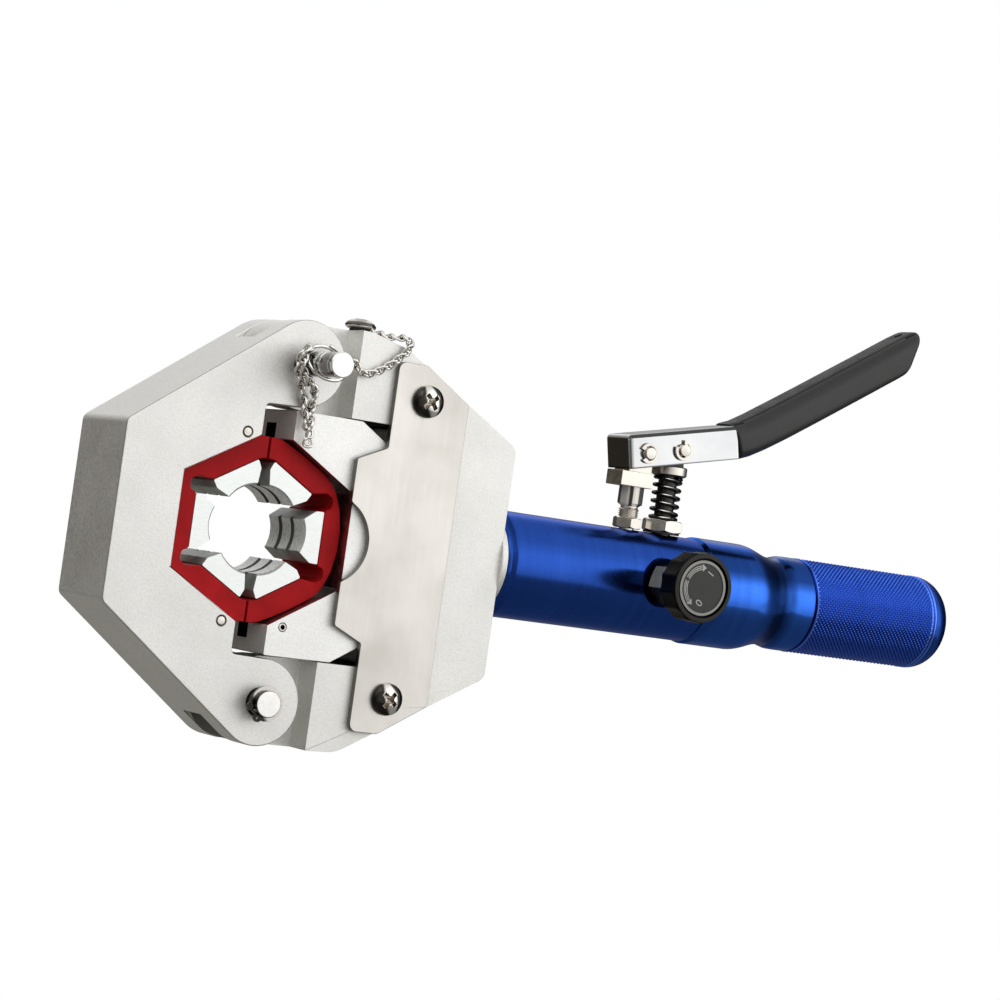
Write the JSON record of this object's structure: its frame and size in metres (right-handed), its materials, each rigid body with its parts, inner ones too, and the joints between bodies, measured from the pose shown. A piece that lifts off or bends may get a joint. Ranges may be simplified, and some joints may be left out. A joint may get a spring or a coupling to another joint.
{
  "type": "hydraulic hose crimper",
  "caption": "Hand-pumped hydraulic hose crimping tool: hinged jaw and ram-driven pusher close a ring of dies round a hose ferrule; lever pump and release valve sit on a barrel handle.",
  "frame": {"origin": "centre of the jaw's hexagonal die recess, on the mid-plane of the head", "axes": "+X along the tool from the jaw to the handle end, +Z towards the pump lever, -Y out of the front face that carries the valve knob and the release pin; the hose passes along Y"},
  "size_m": [0.3934, 0.0768, 0.2016],
  "materials": {
    "cast_silver": "bead-blasted satin",
    "stainless": "rolled sheet, satin",
    "bright_nickel": "bright nickel plate",
    "chrome": "mirror chrome",
    "blue_anodised": "blue anodised, satin",
    "red_urethane": "matte urethane",
    "die_steel": "milled and plated",
    "spring_steel": "black oil finish",
    "black_plastic": "moulded black",
    "grip_rubber": "satin black dip",
    "dial_face": "printed foil",
    "dial_bezel": "turned ring",
    "brass": "turned",
    "seal_rubber": "moulded nitrile"
  },
  "bodies": {
    "frame": {"head_frame": "cast_silver", "cover_plate_front": "stainless", "cover_plate_rear": "stainless", "plate_screw_front_upper": "bright_nickel", "plate_screw_front_lower": "bright_nickel", "plate_screw_rear_upper": "bright_nickel", "plate_screw_rear_lower": "bright_nickel", "chain_screw": "bright_nickel", "retaining_chain": "bright_nickel", "pump_barrel": "blue_anodised", "rear_body": "blue_anodised", "reservoir_handle": "blue_anodised", "oil_bladder": "seal_rubber", "vent_plug": "brass", "pickup_tube": "brass", "check_ball": "die_steel", "check_spring": "spring_steel", "lever_post": "bright_nickel", "post_lock_nut": "bright_nickel", "gland_nut": "bright_nickel", "valve_nut": "black_plastic", "plunger_spring": "spring_steel", "ram_return_spring": "spring_steel"},
    "jaw": {"end_jaw": "cast_silver", "jaw_dowel_upper": "die_steel", "jaw_dowel_lower": "die_steel", "hinge_pin": "bright_nickel", "snap_ring_front": "spring_steel", "snap_ring_rear": "spring_steel", "pin_ring": "bright_nickel", "chain_tail": "bright_nickel", "die_cage_jaw": "red_urethane", "die_jaw_middle": "die_steel"},
    "locking_pin": {"release_pin": "chrome"},
    "pusher": {"pusher_block": "cast_silver", "pusher_spring_pin": "die_steel", "ram_piston": "die_steel", "piston_seal": "seal_rubber", "die_cage_pusher": "red_urethane", "die_pusher_middle": "die_steel"},
    "jaw_upper_die": {"die_jaw_upper": "die_steel"},
    "jaw_lower_die": {"die_jaw_lower": "die_steel"},
    "pusher_upper_die": {"die_pusher_upper": "die_steel"},
    "pusher_lower_die": {"die_pusher_lower": "die_steel"},
    "lever": {"pump_lever": "chrome", "lever_grip": "grip_rubber", "lever_pivot_pin": "bright_nickel", "lever_link_pin": "bright_nickel", "e_clip_pivot_front": "bright_nickel", "e_clip_pivot_rear": "bright_nickel", "e_clip_link_front": "bright_nickel", "e_clip_link_rear": "bright_nickel"},
    "plunger": {"pump_plunger": "spring_steel", "spring_collar": "bright_nickel"},
    "valve": {"valve_stem": "die_steel", "valve_knob": "black_plastic", "dial_ring": "dial_bezel", "dial_disc": "dial_face"}
  },
  "joints": [
    {"name": "jaw_swing", "type": "hinge", "parent": "frame", "child": "jaw", "pos_m": [0.0126, 0, -0.0631], "axis": [0, -1, 0], "range_deg": [0, 88], "deforming": ["retaining_chain"]},
    {"name": "release_pin_slide", "type": "slide", "parent": "jaw", "child": "locking_pin", "axis": [0, 1, 0], "range_m": [-0.006, 0.0218]},
    {"name": "ram_slide", "type": "slide", "parent": "frame", "child": "pusher", "axis": [-1, 0, 0], "range_m": [0, 0.0096], "deforming": ["ram_return_spring", "die_cage_jaw", "die_cage_pusher"]},
    {"name": "jaw_upper_die_slide", "type": "slide", "parent": "jaw", "child": "jaw_upper_die", "axis": [-0.866, 0, -0.5], "range_m": [0, 0.0042]},
    {"name": "jaw_lower_die_slide", "type": "slide", "parent": "jaw", "child": "jaw_lower_die", "axis": [-0.866, 0, 0.5], "range_m": [0, 0.0042]},
    {"name": "pusher_upper_die_slide", "type": "slide", "parent": "pusher", "child": "pusher_upper_die", "axis": [0.866, 0, -0.5], "range_m": [0, 0.0042]},
    {"name": "pusher_lower_die_slide", "type": "slide", "parent": "pusher", "child": "pusher_lower_die", "axis": [0.866, 0, 0.5], "range_m": [0, 0.0042]},
    {"name": "lever_pump", "type": "hinge", "parent": "frame", "child": "lever", "pos_m": [0.176, 0, 0.052], "axis": [0, 1, 0], "range_deg": [0, 24]},
    {"name": "plunger_slide", "type": "slide", "parent": "frame", "child": "plunger", "axis": [0, 0, -1], "range_m": [0, 0.00705], "deforming": ["plunger_spring"]},
    {"name": "valve_turn", "type": "hinge", "parent": "frame", "child": "valve", "pos_m": [0.184, -0.042, 0.0015], "axis": [0, -1, 0], "range_deg": [-150, 0]}
  ],
  "couplings": [
    {"joint": "jaw_upper_die_slide", "follows": "ram_slide", "ratio": 0.43301},
    {"joint": "jaw_lower_die_slide", "follows": "ram_slide", "ratio": 0.43301},
    {"joint": "pusher_upper_die_slide", "follows": "ram_slide", "ratio": 0.43301},
    {"joint": "pusher_lower_die_slide", "follows": "ram_slide", "ratio": 0.43301},
    {"joint": "plunger_slide", "follows": "lever_pump", "m_per_rad": 0.0165}
  ]
}
